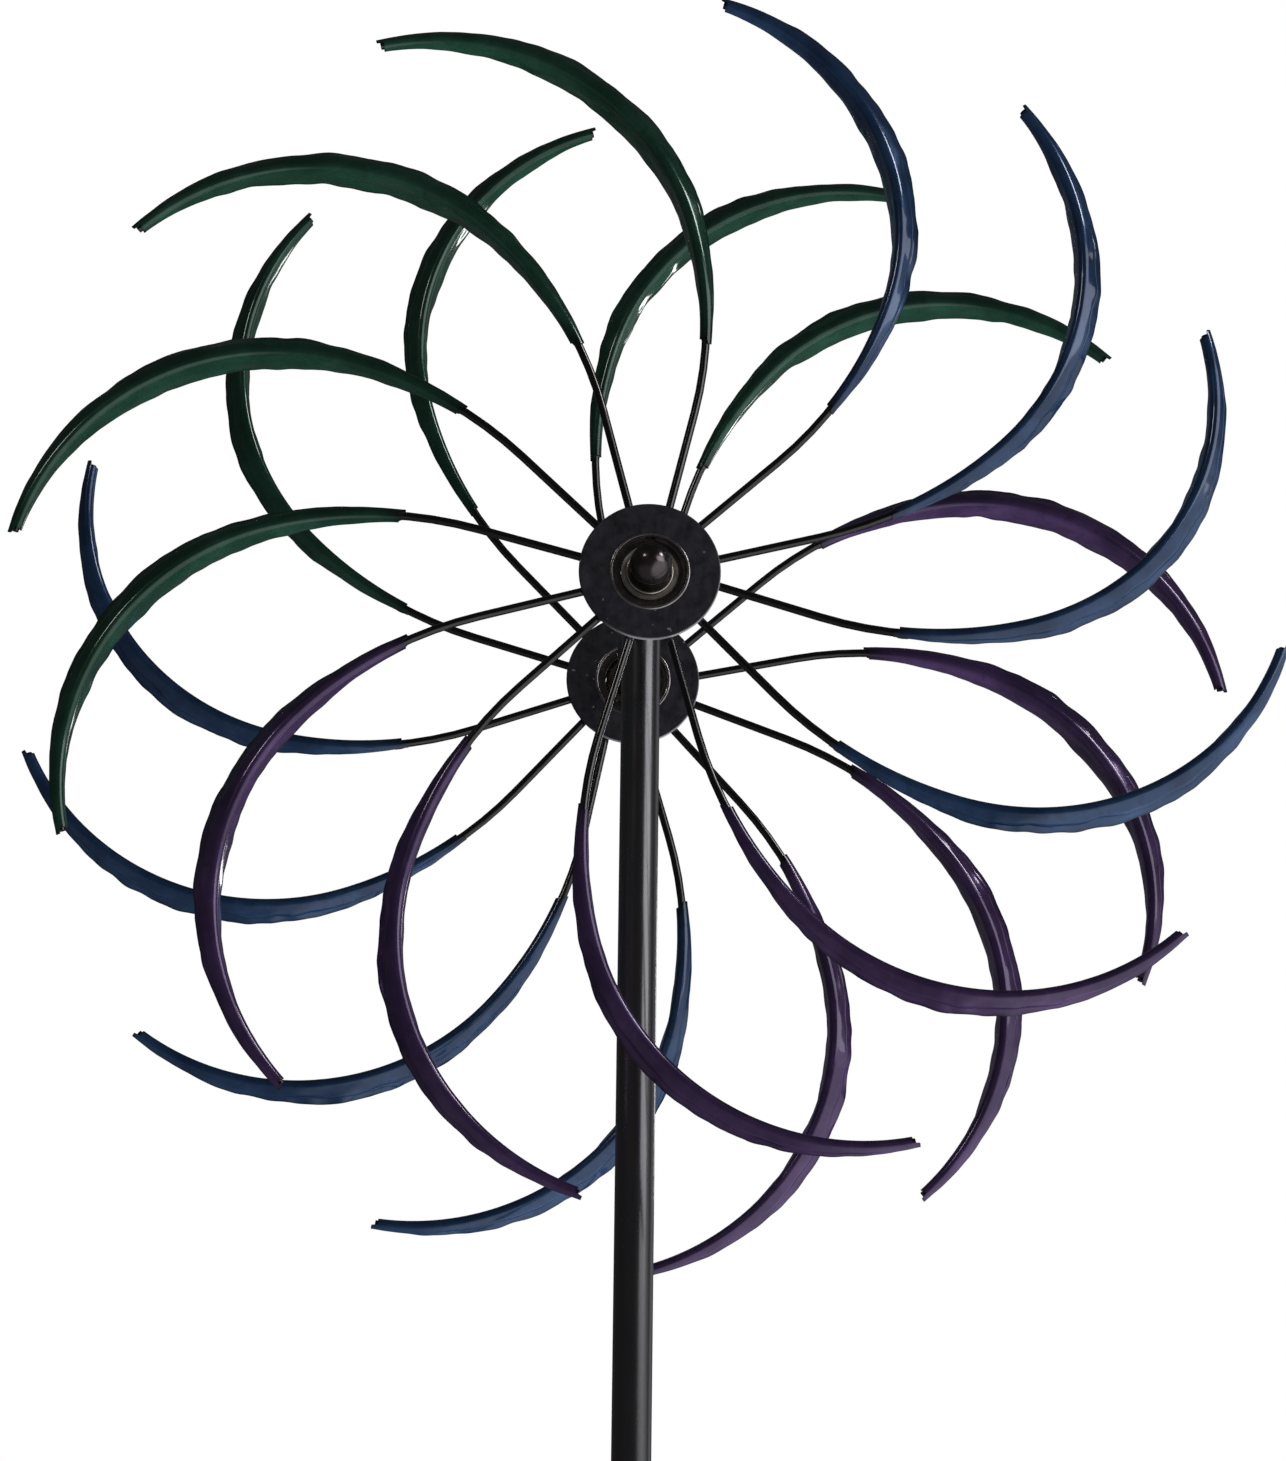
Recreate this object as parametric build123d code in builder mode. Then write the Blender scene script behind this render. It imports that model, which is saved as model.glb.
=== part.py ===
from build123d import *
from math import atan2, cos, degrees, pi, radians, sin
import os

# Kinetic wind sculpture: two rotors of twelve crescent blades turn on one axle at the top of a pole.
# Millimetres. +Z is up, -Y is the front, and the origin is on the pole's axis at ground level.

# ---- Overall places ----
hub_height = 1400.0
front_rotor_y = -81.0
rear_rotor_y = 94.0

# ---- Blade path: a straight run, a slack arc and a tighter arc, tangent to each other ----
rim_radius = 32.0
start_radius = 20.0
rod_lean = -3.0
straight_length = 52.5
slack_radius = 193.0
slack_length = 102.0
curl_radius = 128.5
curl_length = 196.5
bow_tilt = 2.4
rod_diameter = 4.0
rod_tip_gap = 1.5

# ---- Blade sheet: a V-shaped pressing whose rounded nose wraps the front of the rod ----
sheet_thickness = 0.8
rod_gap = 0.15
sheet_start = 88.0
leg_end_length = 1.5
inner_leg_length = 17.5
outer_leg_length = 11.0
inner_leg_angle = 86.0
outer_leg_angle = 41.0
leg_taper = 1.25
station_count = 13
nose_segments = 4

# ---- Rotor layout; each rotor hangs with its heavy side down ----
blade_count = 12
blade_pitch = 360.0 / blade_count
front_first_angle = 76.4
rear_first_angle = 49.2

# ---- Hand work on each rod: degrees off its even place, degrees of lean, and slackness of its bend ----
front_hand_work = (
    (-1.9, 5, 1.00),
    (-0.6, -1, 0.97),
    (-2.5, 3, 1.02),
    (4.8, -5, 0.96),
    (0.9, 0, 1.01),
    (1.3, 1, 1.01),
    (-2.3, 3, 0.99),
    (-3.2, 4, 1.00),
    (0.7, 2, 1.00),
    (0.7, 2, 1.01),
    (0.8, 3, 1.00),
    (0.7, 1, 0.99),
)
rear_hand_work = (
    (-4.7, 4, 1.01),
    (-6.5, 6, 1.01),
    (-7.1, 1, 0.98),
    (-0.6, -4, 1.03),
    (5.2, -10, 1.02),
    (2.5, -5, 1.03),
    (0.8, 1, 1.01),
    (0.3, 4, 1.00),
    (4.3, -2, 0.97),
    (4.1, -2, 0.99),
    (1.5, -5, 1.01),
    (0.0, 2, 1.02),
)

# ---- Hub disc and bearing cup; "forward" distances are measured from the rods' plane ----
disc_diameter = 68.0
disc_thickness = 2.5
disc_back = 2.15
disc_edge_round = 0.6
cup_diameter = 39.0
cup_front = 5.2
cup_back = -10.0
cup_rim_round = 0.9
cup_lip_bore = 31.0
circlip_thickness = 1.2
circlip_groove_diameter = 36.6
circlip_bore = 31.4
circlip_gap = 5.0

# ---- Ball bearing, 10 x 35 x 11 ----
bearing_bore = 10.0
bearing_outer_diameter = 35.0
bearing_width = 11.0
bearing_front = 2.5
inner_shoulder_diameter = 17.4
outer_shoulder_diameter = 27.6
ball_pitch_diameter = 22.5
ball_diameter = 7.0
ball_clearance = 0.08
ball_count = 7
cage_inner_diameter = 20.4
cage_outer_diameter = 24.6
cage_width = 8.4
race_edge_round = 0.5

# ---- Axle and what holds the bearings on it ----
axle_diameter = bearing_bore
boss_diameter = 20.0
boss_length = 100.0
boss_edge = 1.0
spacer_diameter = 14.0
washer_diameter = 23.0
washer_thickness = 1.5
nut_collar_diameter = 15.0
nut_collar_length = 3.0
nut_ball_diameter = 20.0
nut_ball_lead = 11.0
nut_hole_depth = 14.0

# ---- Pole ----
pole_diameter = 19.0
pole_wall = 1.2
pole_bore = pole_diameter - 2 * pole_wall
lower_joint_height = 470.0
upper_joint_height = 935.0
spigot_diameter = 16.5
spigot_length = 40.0
joint_screw_drop = 18.0
screw_diameter = 5.0
screw_hole_diameter = 5.2
screw_head_diameter = 9.5
screw_head_height = 2.8
screw_tail = 2.0
nut_across_flats = 8.0
nut_thickness = 4.0

# ---- Ground stake ----
bar_length = 170.0
bar_width = 25.0
bar_thickness = 5.0
spike_diameter = 16.0
spike_neck_diameter = 14.0
spike_neck_height = 25.0
spike_shaft_length = 150.0
spike_point_length = 50.0
spike_tip_diameter = 2.0
prong_diameter = 8.0
prong_spacing = 140.0
prong_shaft_length = 120.0
prong_point_length = 22.0
prong_tip_diameter = 1.5

rod_radius = rod_diameter / 2
nose_inner_radius = rod_radius + rod_gap
nose_outer_radius = nose_inner_radius + sheet_thickness
path_length = straight_length + slack_length + curl_length
bearing_middle = bearing_front - bearing_width / 2
bearing_back = bearing_front - bearing_width
pocket_radius = ball_diameter / 2 + ball_clearance

os.makedirs("parts", exist_ok=True)


def save(piece, label):
    """Names a finished piece and writes its STEP file."""
    piece.part.label = label
    export_step(piece.part, f"parts/{label}.step")


def front_plane(rotor_y, forward=0.0):
    """Plane across the axle that faces the front, a distance forward of a rotor's rods."""
    return Plane(origin=(0, rotor_y - forward, hub_height), x_dir=(1, 0, 0), z_dir=(0, -1, 0))


def profile_plane(rotor_y):
    """Plane for turned hub pieces: X is the radius and Y is the distance forward along the axle."""
    return Plane(origin=(0, rotor_y, hub_height), x_dir=(1, 0, 0), z_dir=(0, 0, 1)).rotated((180, 0, 0))


# =============================== rotor blades and rods ===============================


def path_state(distance, lean, slack):
    """Place and heading (radians) on a blade's path, a distance along it from the hub's rim."""
    heading = radians(rod_lean + lean)
    run = min(distance, straight_length)
    x = rim_radius + run * cos(heading)
    y = run * sin(heading)
    for radius, longest in ((slack_radius * slack, slack_length), (curl_radius * slack, curl_length)):
        distance -= run
        run = min(max(distance, 0.0), longest)
        turned = heading + run / radius
        x += radius * (sin(turned) - sin(heading))
        y -= radius * (cos(turned) - cos(heading))
        heading = turned
    return x, y, heading


def blade_plane(rotor_y, turn, angle, lean, slack):
    """Plane of one blade: X runs out along its rod, and its curl turns from X towards Y.

    The plane is tilted about the chord from the hub's rim to the tip, which bows the blade forward.
    """
    centre = Vector(0, rotor_y, hub_height)
    forward = Vector(0, -1, 0)
    out = Vector(turn * cos(radians(angle)), 0, sin(radians(angle)))
    curl = Vector(-turn * sin(radians(angle)), 0, cos(radians(angle)))
    tip_x, tip_y, _ = path_state(path_length, lean, slack)
    slope = atan2(tip_y, tip_x - rim_radius)
    chord = out * cos(slope) + curl * sin(slope)
    belly = out * sin(slope) - curl * cos(slope)
    bowed = belly * cos(radians(bow_tilt)) + forward * sin(radians(bow_tilt))
    tilted_out = chord * cos(slope) + bowed * sin(slope)
    tilted_curl = chord * sin(slope) - bowed * cos(slope)
    origin = centre + (out - tilted_out) * rim_radius
    return Plane(origin=origin, x_dir=tilted_out, z_dir=tilted_out.cross(tilted_curl))


def section_plane(base, distance, lean, slack):
    """Plane across the path: X points to the outside of the curl and Y points to the back."""
    x, y, heading = path_state(distance, lean, slack)
    origin = base.origin + base.x_dir * x + base.y_dir * y
    outside = base.x_dir * sin(heading) - base.y_dir * cos(heading)
    back = base.z_dir if base.z_dir.Y > 0 else -base.z_dir
    return Plane(origin=origin, x_dir=outside, z_dir=outside.cross(back))


def leg_corner(radius, angle, side, length):
    """Point on a leg's face, a length down from where the leg leaves the rounded nose."""
    tilt = radians(angle)
    x = side * (radius * sin(tilt) + length * cos(tilt))
    y = -radius * cos(tilt) + length * sin(tilt)
    return x, y


def sheet_outline(inner_length, outer_length):
    """Closed outline of the pressed sheet: two straight legs joined by a rounded nose."""
    first = radians(90 + inner_leg_angle)
    last = radians(90 - outer_leg_angle)
    turns = [first + (last - first) * step / nose_segments for step in range(nose_segments + 1)]
    points = [leg_corner(nose_outer_radius, inner_leg_angle, -1, inner_length)]
    points += [(nose_outer_radius * cos(turn), -nose_outer_radius * sin(turn)) for turn in turns]
    points.append(leg_corner(nose_outer_radius, outer_leg_angle, 1, outer_length))
    points.append(leg_corner(nose_inner_radius, outer_leg_angle, 1, outer_length))
    points += [(nose_inner_radius * cos(turn), -nose_inner_radius * sin(turn)) for turn in reversed(turns)]
    points.append(leg_corner(nose_inner_radius, inner_leg_angle, -1, inner_length))
    return points


def leg_length(longest, share):
    """A leg's length at a share of the way along the crescent: short at both ends."""
    return leg_end_length + (longest - leg_end_length) * sin(pi * share) ** leg_taper


def make_blade(label, base, lean, slack):
    """One crescent blade, lofted through cross-sections along its rod."""
    with BuildPart() as blade:
        for station in range(station_count):
            share = station / (station_count - 1)
            distance = sheet_start + (path_length - sheet_start) * share
            inner = leg_length(inner_leg_length, share)
            outer = leg_length(outer_leg_length, share)
            with BuildSketch(section_plane(base, distance, lean, slack)):
                with BuildLine():
                    Polyline(*sheet_outline(inner, outer), close=True)
                make_face()
        loft()
    save(blade, label)


def make_rods(label, blades):
    """Twelve bent rods, from the bearing cup to just inside the blade tips."""
    inward = rim_radius - start_radius
    with BuildPart() as rods:
        for base, lean, slack in blades:
            with BuildLine(base):
                heading = radians(rod_lean + lean)
                start = (rim_radius - inward * cos(heading), -inward * sin(heading))
                straight_end = path_state(straight_length, lean, slack)[:2]
                straight = Line(start, straight_end)
                slack_span = degrees(slack_length / (slack_radius * slack))
                first_bend = JernArc(straight_end, straight % 1, slack_radius * slack, slack_span)
                curl_span = degrees((curl_length - rod_tip_gap) / (curl_radius * slack))
                JernArc(first_bend @ 1, first_bend % 1, curl_radius * slack, curl_span)
            with BuildSketch(Plane(origin=straight @ 0, z_dir=straight % 0)):
                Circle(rod_radius)
            sweep()
    save(rods, label)


def blade_layout(rotor_y, turn, first_angle, hand_work):
    """Plane, lean and slack of every blade; they go round against the way that the blades curl."""
    layout = []
    for number, (error, lean, slack) in enumerate(hand_work):
        angle = first_angle - number * blade_pitch + error
        layout.append((blade_plane(rotor_y, turn, angle, lean, slack), lean, slack))
    return layout


# =============================== hub and bearing ===============================


def make_hub_disc(label, rotor_y):
    """Flat steel ring that covers the welded inner ends of the rods."""
    with BuildPart() as disc:
        with BuildSketch(front_plane(rotor_y, disc_back)):
            Circle(disc_diameter / 2)
            Circle(cup_diameter / 2, mode=Mode.SUBTRACT)
        extrude(amount=disc_thickness)
        fillet(disc.edges().filter_by(GeomType.CIRCLE).group_by(SortBy.RADIUS)[-1], disc_edge_round)
    save(disc, label)


def make_bearing_cup(label, rotor_y):
    """Turned cup with a back lip and a circlip groove; the bearing slides in from the front."""
    outer = cup_diameter / 2
    seat = bearing_outer_diameter / 2
    groove = circlip_groove_diameter / 2
    lip = cup_lip_bore / 2
    groove_front = bearing_front + circlip_thickness
    with BuildPart() as cup:
        with BuildSketch(profile_plane(rotor_y)):
            with BuildLine():
                Polyline(
                    (lip, cup_back),
                    (outer, cup_back),
                    (outer, cup_front),
                    (seat, cup_front),
                    (seat, groove_front),
                    (groove, groove_front),
                    (groove, bearing_front),
                    (seat, bearing_front),
                    (seat, bearing_back),
                    (lip, bearing_back),
                    close=True,
                )
            make_face()
        revolve(axis=Axis((0, 0, hub_height), (0, 1, 0)))
        rim = cup.edges().filter_by(GeomType.CIRCLE).group_by(Axis.Y)[0]
        fillet(rim, cup_rim_round)
    save(cup, label)


def make_circlip(label, rotor_y):
    """Open spring ring that keeps the bearing in its cup."""
    with BuildPart() as circlip:
        with BuildSketch(front_plane(rotor_y, bearing_front)):
            Circle(circlip_groove_diameter / 2)
            Circle(circlip_bore / 2, mode=Mode.SUBTRACT)
            with Locations((0, circlip_groove_diameter / 2)):
                Rectangle(circlip_gap, circlip_groove_diameter / 2, mode=Mode.SUBTRACT)
        extrude(amount=circlip_thickness)
    save(circlip, label)


def make_race(label, rotor_y, bore, outside):
    """Bearing race with a ball groove; the inner and the outer race differ only in their diameters."""
    with BuildPart() as race:
        with BuildSketch(front_plane(rotor_y, bearing_back)):
            Circle(outside / 2)
            Circle(bore / 2, mode=Mode.SUBTRACT)
        extrude(amount=bearing_width)
        fillet(race.edges().filter_by(GeomType.CIRCLE), race_edge_round)
        with BuildSketch(profile_plane(rotor_y)):
            with Locations((ball_pitch_diameter / 2, bearing_middle)):
                Circle(ball_diameter / 2 + ball_clearance)
        revolve(axis=Axis((0, 0, hub_height), (0, 1, 0)), mode=Mode.SUBTRACT)
    save(race, label)


def make_balls(label, rotor_y):
    """The bearing's balls, evenly spaced on the pitch circle."""
    with BuildPart(front_plane(rotor_y, bearing_middle)) as balls:
        with PolarLocations(ball_pitch_diameter / 2, ball_count):
            Sphere(ball_diameter / 2)
    save(balls, label)


def make_cage(label, rotor_y):
    """Ring with a round pocket for each ball."""
    with BuildPart(front_plane(rotor_y, bearing_middle)) as cage:
        Cylinder(cage_outer_diameter / 2, cage_width)
        Cylinder(cage_inner_diameter / 2, cage_width, mode=Mode.SUBTRACT)
        with PolarLocations(ball_pitch_diameter / 2, ball_count):
            Cylinder(pocket_radius, cage_outer_diameter / 2, rotation=(0, 90, 0), mode=Mode.SUBTRACT)
    save(cage, label)


def make_hub(side, rotor_y):
    """Everything round the axle that belongs to one rotor's hub and bearing."""
    make_hub_disc(f"{side}_hub_disc", rotor_y)
    make_bearing_cup(f"{side}_bearing_cup", rotor_y)
    make_circlip(f"{side}_circlip", rotor_y)
    make_race(f"{side}_outer_race", rotor_y, outer_shoulder_diameter, bearing_outer_diameter)
    make_race(f"{side}_inner_race", rotor_y, bearing_bore, inner_shoulder_diameter)
    make_balls(f"{side}_bearing_balls", rotor_y)
    make_cage(f"{side}_ball_cage", rotor_y)


# =============================== axle ===============================


def make_sleeve(label, front_y, back_y, outside, bore, edge=0.0):
    """Plain sleeve round the axle between two places along Y."""
    with BuildPart() as sleeve:
        with BuildSketch(Plane(origin=(0, back_y, hub_height), x_dir=(1, 0, 0), z_dir=(0, -1, 0))):
            Circle(outside / 2)
            Circle(bore / 2, mode=Mode.SUBTRACT)
        extrude(amount=back_y - front_y)
        if edge:
            rims = sleeve.edges().filter_by(GeomType.CIRCLE).group_by(SortBy.RADIUS)[-1]
            chamfer(rims, edge)
    save(sleeve, label)


def make_axle(front_y, back_y):
    """One rod through both bearings, ending inside the two ball nuts."""
    with BuildPart() as axle:
        with BuildSketch(Plane(origin=(0, back_y, hub_height), x_dir=(1, 0, 0), z_dir=(0, -1, 0))):
            Circle(axle_diameter / 2)
        extrude(amount=back_y - front_y)
        chamfer(axle.edges().filter_by(GeomType.CIRCLE), boss_edge)
    save(axle, "axle")


def make_cap_nut(label, seat_y, facing):
    """Ball-shaped cap nut: a short collar, then a ball, with a blind hole for the axle's end."""
    seat = Plane(origin=(0, seat_y, hub_height), x_dir=(1, 0, 0), z_dir=(0, facing, 0))
    with BuildPart() as nut:
        with BuildSketch(seat):
            Circle(nut_collar_diameter / 2)
        extrude(amount=nut_collar_length)
        with Locations(seat.offset(nut_ball_lead)):
            Sphere(nut_ball_diameter / 2)
        with BuildSketch(seat):
            Circle(axle_diameter / 2)
        extrude(amount=nut_hole_depth, mode=Mode.SUBTRACT)
    save(nut, label)


def make_axle_group():
    """Axle, boss, spacers, washers and cap nuts, from the front to the rear."""
    boss_front = -boss_length / 2
    boss_back = boss_length / 2
    front_bearing_face = front_rotor_y - bearing_front
    rear_bearing_face = rear_rotor_y - bearing_back
    front_washer_face = front_bearing_face - washer_thickness
    rear_washer_face = rear_bearing_face + washer_thickness
    axle_reach = nut_hole_depth - boss_edge
    make_axle(front_washer_face - axle_reach, rear_washer_face + axle_reach)
    make_sleeve("axle_boss", boss_front, boss_back, boss_diameter, axle_diameter, boss_edge)
    make_sleeve("front_spacer", front_rotor_y - bearing_back, boss_front, spacer_diameter, axle_diameter)
    make_sleeve("rear_spacer", boss_back, rear_rotor_y - bearing_front, spacer_diameter, axle_diameter)
    make_sleeve("front_washer", front_washer_face, front_bearing_face, washer_diameter, axle_diameter)
    make_sleeve("rear_washer", rear_bearing_face, rear_washer_face, washer_diameter, axle_diameter)
    make_cap_nut("front_cap_nut", front_washer_face, -1)
    make_cap_nut("rear_cap_nut", rear_washer_face, 1)


# =============================== pole ===============================


def make_tube(label, bottom, top, holes, spigot=False, saddle=False):
    """One pole tube, with a reduced spigot below it or a saddle for the axle boss above it."""
    with BuildPart() as tube:
        with BuildSketch(Plane.XY.offset(bottom)):
            Circle(pole_diameter / 2)
        extrude(amount=top - bottom)
        if spigot:
            with BuildSketch(Plane.XY.offset(bottom)):
                Circle(spigot_diameter / 2)
            extrude(amount=-spigot_length)
            with BuildSketch(Plane.XY.offset(bottom - spigot_length)):
                Circle(spigot_diameter / 2 - pole_wall)
            extrude(amount=spigot_length + pole_wall, mode=Mode.SUBTRACT)
            with BuildSketch(Plane.XY.offset(bottom + pole_wall)):
                Circle(pole_bore / 2)
            extrude(amount=top - bottom, mode=Mode.SUBTRACT)
        else:
            with BuildSketch(Plane.XY.offset(bottom)):
                Circle(pole_bore / 2)
            extrude(amount=top - bottom, mode=Mode.SUBTRACT)
        for height in holes:
            with BuildSketch(Plane.XZ.offset(-pole_diameter)):
                with Locations((0, height)):
                    Circle(screw_hole_diameter / 2)
            extrude(amount=2 * pole_diameter, mode=Mode.SUBTRACT)
        if saddle:
            with BuildSketch(Plane.XZ.offset(-pole_diameter)):
                with Locations((0, hub_height)):
                    Circle(boss_diameter / 2)
            extrude(amount=2 * pole_diameter, mode=Mode.SUBTRACT)
    save(tube, label)


def make_joint_screws(heights):
    """One round-headed screw through each pole joint, from the front."""
    with BuildPart() as screws:
        for height in heights:
            face = Plane(origin=(0, -pole_diameter / 2, height), x_dir=(1, 0, 0), z_dir=(0, -1, 0))
            with BuildSketch(face):
                Circle(screw_head_diameter / 2)
            extrude(amount=screw_head_height)
            with BuildSketch(face):
                Circle(screw_diameter / 2)
            extrude(amount=-(pole_diameter + nut_thickness + screw_tail))
        heads = screws.edges().filter_by(GeomType.CIRCLE).group_by(Axis.Y)[0]
        fillet(heads, screw_head_height / 2)
    save(screws, "joint_screws")


def make_joint_nuts(heights):
    """One hexagon nut behind each pole joint."""
    with BuildPart() as nuts:
        for height in heights:
            face = Plane(origin=(0, pole_diameter / 2, height), x_dir=(1, 0, 0), z_dir=(0, 1, 0))
            with BuildSketch(face):
                RegularPolygon(nut_across_flats / 2, 6, major_radius=False)
                Circle(screw_diameter / 2, mode=Mode.SUBTRACT)
            extrude(amount=nut_thickness)
    save(nuts, "joint_nuts")


def make_pole():
    """Three tubes pushed together and screwed, from the step bar to the axle boss."""
    lower_screw = lower_joint_height - joint_screw_drop
    upper_screw = upper_joint_height - joint_screw_drop
    make_tube("lower_tube", bar_thickness, lower_joint_height, [lower_screw])
    make_tube("middle_tube", lower_joint_height, upper_joint_height, [lower_screw, upper_screw], spigot=True)
    make_tube("upper_tube", upper_joint_height, hub_height, [upper_screw], spigot=True, saddle=True)
    make_joint_screws([lower_screw, upper_screw])
    make_joint_nuts([lower_screw, upper_screw])


# =============================== ground stake ===============================


def make_step_bar():
    """Flat bar to push down with a foot, with holes for the spike's neck and the two prongs."""
    with BuildPart() as bar:
        with BuildSketch():
            SlotOverall(bar_length, bar_width)
            Circle(spike_neck_diameter / 2, mode=Mode.SUBTRACT)
            with GridLocations(prong_spacing, 0, 2, 1):
                Circle(prong_diameter / 2, mode=Mode.SUBTRACT)
        extrude(amount=bar_thickness)
    save(bar, "step_bar")


def make_spike():
    """Pointed spike; its neck passes up through the step bar into the lower tube."""
    with BuildPart() as spike:
        with BuildSketch():
            Circle(spike_neck_diameter / 2)
        extrude(amount=spike_neck_height)
        with BuildSketch():
            Circle(spike_diameter / 2)
        extrude(amount=-spike_shaft_length)
        with BuildSketch(Plane.XY.offset(-spike_shaft_length)):
            Circle(spike_diameter / 2)
        with BuildSketch(Plane.XY.offset(-spike_shaft_length - spike_point_length)):
            Circle(spike_tip_diameter / 2)
        loft()
    save(spike, "ground_spike")


def make_prong(label, x):
    """Pointed side prong, flush with the top of the step bar."""
    with BuildPart() as prong:
        with BuildSketch(Plane.XY.offset(bar_thickness)):
            with Locations((x, 0)):
                Circle(prong_diameter / 2)
        extrude(amount=-bar_thickness - prong_shaft_length)
        with BuildSketch(Plane.XY.offset(-prong_shaft_length)):
            with Locations((x, 0)):
                Circle(prong_diameter / 2)
        with BuildSketch(Plane.XY.offset(-prong_shaft_length - prong_point_length)):
            with Locations((x, 0)):
                Circle(prong_tip_diameter / 2)
        loft()
    save(prong, label)


# =============================== assembly ===============================


def make_rotor(side, rotor_y, turn, first_angle, hand_work):
    """Hub, rods and blades of one rotor."""
    make_hub(side, rotor_y)
    blades = blade_layout(rotor_y, turn, first_angle, hand_work)
    make_rods(f"{side}_rods", blades)
    for number, (base, lean, slack) in enumerate(blades, start=1):
        make_blade(f"{side}_blade_{number:02d}", base, lean, slack)


make_rotor("front", front_rotor_y, 1, front_first_angle, front_hand_work)
make_rotor("rear", rear_rotor_y, -1, rear_first_angle, rear_hand_work)
make_axle_group()
make_pole()
make_step_bar()
make_spike()
make_prong("left_prong", -prong_spacing / 2)
make_prong("right_prong", prong_spacing / 2)
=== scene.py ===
from math import atan2, cos, pi, radians, sin

import bmesh
import bpy
from mathutils import Matrix, Vector, noise


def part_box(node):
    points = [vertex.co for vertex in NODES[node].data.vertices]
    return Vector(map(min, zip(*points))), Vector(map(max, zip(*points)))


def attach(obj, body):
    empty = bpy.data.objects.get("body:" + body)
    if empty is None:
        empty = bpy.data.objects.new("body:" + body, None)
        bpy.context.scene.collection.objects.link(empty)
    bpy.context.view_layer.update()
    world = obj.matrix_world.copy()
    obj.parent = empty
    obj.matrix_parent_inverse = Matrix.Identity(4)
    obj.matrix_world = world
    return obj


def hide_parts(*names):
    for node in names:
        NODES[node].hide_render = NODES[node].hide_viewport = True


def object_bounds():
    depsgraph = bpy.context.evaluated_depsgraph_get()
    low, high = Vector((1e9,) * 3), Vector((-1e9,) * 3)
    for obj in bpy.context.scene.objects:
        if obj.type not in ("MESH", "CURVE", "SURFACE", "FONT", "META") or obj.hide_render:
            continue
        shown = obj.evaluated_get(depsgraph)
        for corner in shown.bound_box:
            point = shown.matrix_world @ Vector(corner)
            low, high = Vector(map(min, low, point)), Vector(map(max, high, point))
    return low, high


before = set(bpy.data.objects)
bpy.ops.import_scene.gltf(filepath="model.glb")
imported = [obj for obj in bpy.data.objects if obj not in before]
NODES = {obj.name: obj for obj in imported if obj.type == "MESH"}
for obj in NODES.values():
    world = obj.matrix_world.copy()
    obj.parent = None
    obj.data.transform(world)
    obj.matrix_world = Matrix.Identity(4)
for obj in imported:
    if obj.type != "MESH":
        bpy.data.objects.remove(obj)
size_at_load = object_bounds()

# Kinetic wind sculpture: two rotors of twelve crescent blades on one axle at the top of a pole.
# Metres. +Z is up and -Y is the front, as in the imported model.

MM = 0.001

# ---- Camera, placed from the axle's middle ----
CAMERA_OFFSET = (-0.102, -2.296, -0.740)
CAMERA_YAW = 2.58
CAMERA_PITCH = 16.62
CAMERA_ROLL = 0.69
CAMERA_LENS = 120.4
SENSOR_SIZE = 36.0

# ---- Stage ----
BACKDROP_RADIUS = 40.0
CAMERA_REACH = 200.0
FLOOR_RADIUS = 30.0
FLOOR_GLOW = 0.6
FLOOR_GAP = 0.5 * MM

# ---- Light: the surroundings glow a little, and more round a few directions ----
DIM_SURROUNDINGS = 0.035
SURROUNDINGS_TINT = (0.97, 0.97, 1.0)
# (direction, cosine where the glow begins, cosine where it is full, glow)
SOFT_GLOWS = (
    ((0.76, -0.34, -0.56), 0.56, 0.82, 0.66),
    ((-0.40, -0.30, -0.85), 0.60, 0.90, 0.08),
    ((0.80, 0.56, 0.20), 0.93, 0.995, 0.25),
)
# Soft boxes that face the hub: (name, place from the hub, width, height, watts, tint).
# The first four only make highlights, the last two only light the paint.
HIGHLIGHT_BOXES = (
    ("key", (2.08, -1.13, 1.83), 0.6, 0.6, 12.0, (1.0, 0.98, 1.0)),
    ("side", (1.95, -1.65, 0.78), 1.85, 1.1, 12.0, (0.96, 0.94, 1.0)),
    ("far", (1.40, 2.62, 0.48), 0.3, 0.3, 1.1, (1.0, 1.0, 1.0)),
    ("glint", (-1.75, -2.05, 1.70), 0.4, 0.4, 4.5, (1.0, 0.90, 0.82)),
)
PAINT_BOXES = (
    ("fill", (1.65, 1.15, -2.20), 2.0, 2.0, 52.0, (1.0, 1.0, 1.0)),
    ("back", (-0.55, 2.65, 1.75), 2.2, 2.2, 110.0, (1.0, 1.0, 1.0)),
)

# ---- Blade path and sheet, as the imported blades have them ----
RIM_RADIUS = 32.0 * MM
ROD_LEAN = -3.0
STRAIGHT_LENGTH = 52.5 * MM
SLACK_RADIUS = 193.0 * MM
SLACK_LENGTH = 102.0 * MM
CURL_RADIUS = 128.5 * MM
CURL_LENGTH = 196.5 * MM
PATH_LENGTH = STRAIGHT_LENGTH + SLACK_LENGTH + CURL_LENGTH
BOW_TILT = radians(2.4)
SHEET_START = 88.0 * MM
SHEET_THICKNESS = 0.8 * MM
NOSE_RADIUS = 2.55 * MM
LEG_END_LENGTH = 1.5 * MM
INNER_LEG_LENGTH = 17.5 * MM
OUTER_LEG_LENGTH = 11.0 * MM
INNER_LEG_ANGLE = radians(86.0)
OUTER_LEG_ANGLE = radians(41.0)
LEG_TAPER = 1.25
ROD_RADIUS = 2.0 * MM
# Distance from the axle to the rods' inner ends.
ROOT_RADIUS = 21.6 * MM

# The rods' plane lies this far behind the middle of the hub disc.
HUB_DISC_FORWARD = 3.4 * MM

# ---- Weld beads: half sizes along the rod, across it and backwards, and where the sheet is welded ----
ROOT_SIDE_BEAD = (2.1 * MM, 1.0 * MM, 1.5 * MM)
ROOT_BACK_BEAD = (2.2 * MM, 1.7 * MM, 0.9 * MM)
SHEET_BEAD = (3.4 * MM, 0.8 * MM, 1.1 * MM)
SHEET_WELDS = (SHEET_START + 5 * MM, (SHEET_START + PATH_LENGTH) / 2, PATH_LENGTH - 8 * MM)
BEAD_ROUGHNESS = 0.22
BEAD_CELLS = 2.3

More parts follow.
